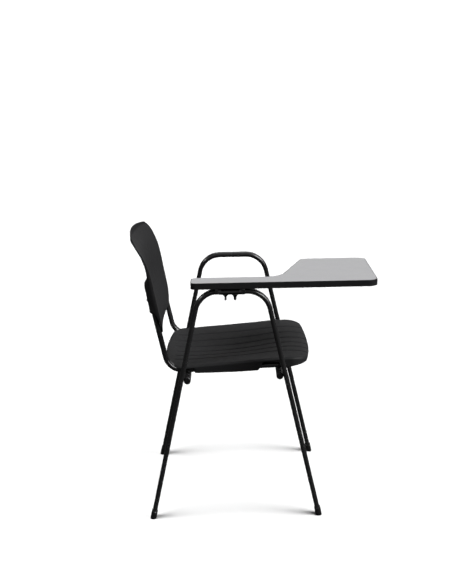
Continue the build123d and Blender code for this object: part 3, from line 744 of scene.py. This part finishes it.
def backrest_sheet():
    """The curved sheet with a pressed line inside its border and a round edge."""
    turns = even_turns(back_outline, BACK_CENTRE, BACK_POINTS)
    centre = np.array(BACK_CENTRE)

    def ring(inset, behind, share=1.0):
        y, z = (centre + (inset_ring(back_outline, BACK_CENTRE, turns, inset) - centre) * share).T
        return np.column_stack([back_face(y, z) - behind, y, z])

    half = BACK_SHEET / 2
    rings = [ring(14, 0.0, share) for share in np.linspace(0.012, 1, 60)]
    rings += [ring(12, 0.0), ring(10.5, 0.12), ring(9, 0.4), ring(7.5, 0.12), ring(6, 0.0), ring(4, 0.0)]
    for turn in np.radians(np.linspace(0, 180, 11)):
        rings.append(ring(half * (1 - math.sin(turn)), half * (1 - math.cos(turn))))
    rings += [ring(4, BACK_SHEET), ring(8, BACK_SHEET)]
    rings += [ring(14, BACK_SHEET, share) for share in np.linspace(1, 0.012, 60)]
    return ring_solid(rings)


def side_wall(side):
    """Wall behind a side edge, from the sleeve up to nothing."""
    rings = []
    for z in np.linspace(WALL_HEIGHTS[0], WALL_HEIGHTS[-1], 60):
        depth = np.interp(z, WALL_HEIGHTS, WALL_DEPTHS)
        front = float(back_face(BACK_HALF, z)) - 1.2
        near_sheet = [(0, 3.6), (0, 0.3), (0.5, 0.05)]
        far_edge = [(depth - 1.2, 0.35), (depth - 0.3, 0.9), (depth, 1.8), (depth - 0.6, 3.2)]
        rings.append([
            (front - min(d, depth), side * (BACK_HALF - w), z) for d, w in near_sheet + far_edge
        ])
    return ring_solid(rings)


def sleeve(side):
    """Sleeve round a rail, closed at the top, with a lip at its mouth, its front merged into the sheet."""
    mouth = [SLEEVE_BOTTOM, SLEEVE_BOTTOM + 0.2, SLEEVE_BOTTOM + 0.8]
    lip_levels = np.linspace(593.5, 604, 8)
    body_levels = np.linspace(608, SLEEVE_SHOULDER, 16)
    top_levels = np.linspace(SLEEVE_SHOULDER + 3, SLEEVE_TOP, 10)
    turn = np.linspace(0, 2 * math.pi, 72, endpoint=False)
    rings = []
    for z in np.concatenate([mouth, lip_levels, body_levels, top_levels]):
        lip = 1.0 * (1 - ease(z, 599, 603))
        tuck = 1.1 * (1 - ease(z, 591.4, 593.2))
        close = ease(z, SLEEVE_SHOULDER, SLEEVE_TOP + 2)
        half_t = 10.9 + lip - tuck - 7.5 * close
        half_w = 18.6 + lip * 0.3 - tuck - 2.0 * close
        straight = half_w - min(half_t, half_w) * 0.92
        across = straight * np.sign(np.cos(turn)) + (half_w - straight) * np.cos(turn)
        y = np.clip(side * (RAIL_Y + across), -BACK_HALF + 0.4, BACK_HALF - 0.4)
        inside_sheet = back_face(y, np.full_like(y, z)) - 2.0
        x = np.where(np.sin(turn) > 0, inside_sheet, rail_centre(z) + half_t * np.sin(turn))
        rings.append(np.column_stack([x, y, np.full_like(x, z)]))
    return ring_solid(rings)


def backrest():
    solids = [backrest_sheet()]
    for side in (-1, 1):
        solids.append(side_wall(side))
        solids.append(sleeve(side))
    build("backrest_moulding", solids, "shell_plastic", replaced=["backrest_shell"])


# ---------------------------------------------------------------- clamp nuts
# Hub: distance down from the washer and radius there.
NUT_HUB = (
    (0.0, 4.0), (0.1, 7.4), (0.6, 7.9), (1.3, 7.6), (2.3, 5.9), (3.4, 4.6),
    (4.6, 3.8), (6.0, 3.2), (7.2, 2.6), (8.2, 1.7), (8.6, 0.8),
)
# Blade: half width and distance down, from the washer to the tip.
NUT_BLADE = (
    (7.8, 0.9), (7.9, 1.8), (6.6, 3.4), (5.3, 5.6), (4.5, 8.0),
    (4.2, 10.6), (4.1, 13.0), (3.5, 14.9), (2.2, 15.9), (0.0, 16.2),
)
# Offsets through the blade's thickness, and the outline's share there.
NUT_LAYERS = ((-1.25, 0.82), (-1.15, 0.93), (-0.7, 1.0), (0.7, 1.0), (1.15, 0.93), (1.25, 0.82))


def joint_line(name):
    """A joint's place in chair millimetres and its direction."""
    joint = next(j for j in frame["record"]["behaviour"]["joints"] if j["name"] == name)
    seat = np.array(joint["pos_m"]) / MM - np.array((FEET_X / MM, 0, 0))
    return seat, np.array(joint["axis"], float)


def thumb_nut(node, joint, turn):
    """A flanged hub with a flat thumb blade, under the arm."""
    seat, axis = joint_line(joint)
    down = -axis / np.linalg.norm(axis)
    across = np.array((math.cos(math.radians(turn)), math.sin(math.radians(turn)), 0.0))
    across -= down * (across @ down)
    across /= np.linalg.norm(across)
    thick = np.cross(down, across)
    mirrored = [(-u, w) for u, w in reversed(NUT_BLADE[:-1])]
    outline = [np.array(point) for point in (*mirrored, *NUT_BLADE)]
    middle = np.array((0.0, 8.0))
    blade = []
    for offset, share in NUT_LAYERS:
        ring = [middle + (point - middle) * share for point in outline]
        blade.append([seat + across * u + down * w + thick * offset for u, w in ring])
    solids = [turned_solid(seat, down, NUT_HUB), ring_solid(blade)]
    build(f"{node}_casting", solids, "nut_finish", body=node, replaced=[node])


make_camera()
make_studio()
dress_frame()
seat_shell()
backrest()
thumb_nut("wing_nut_rear", "wing_nut_rear_turn", 90)
thumb_nut("wing_nut_front", "wing_nut_front_turn", 35)
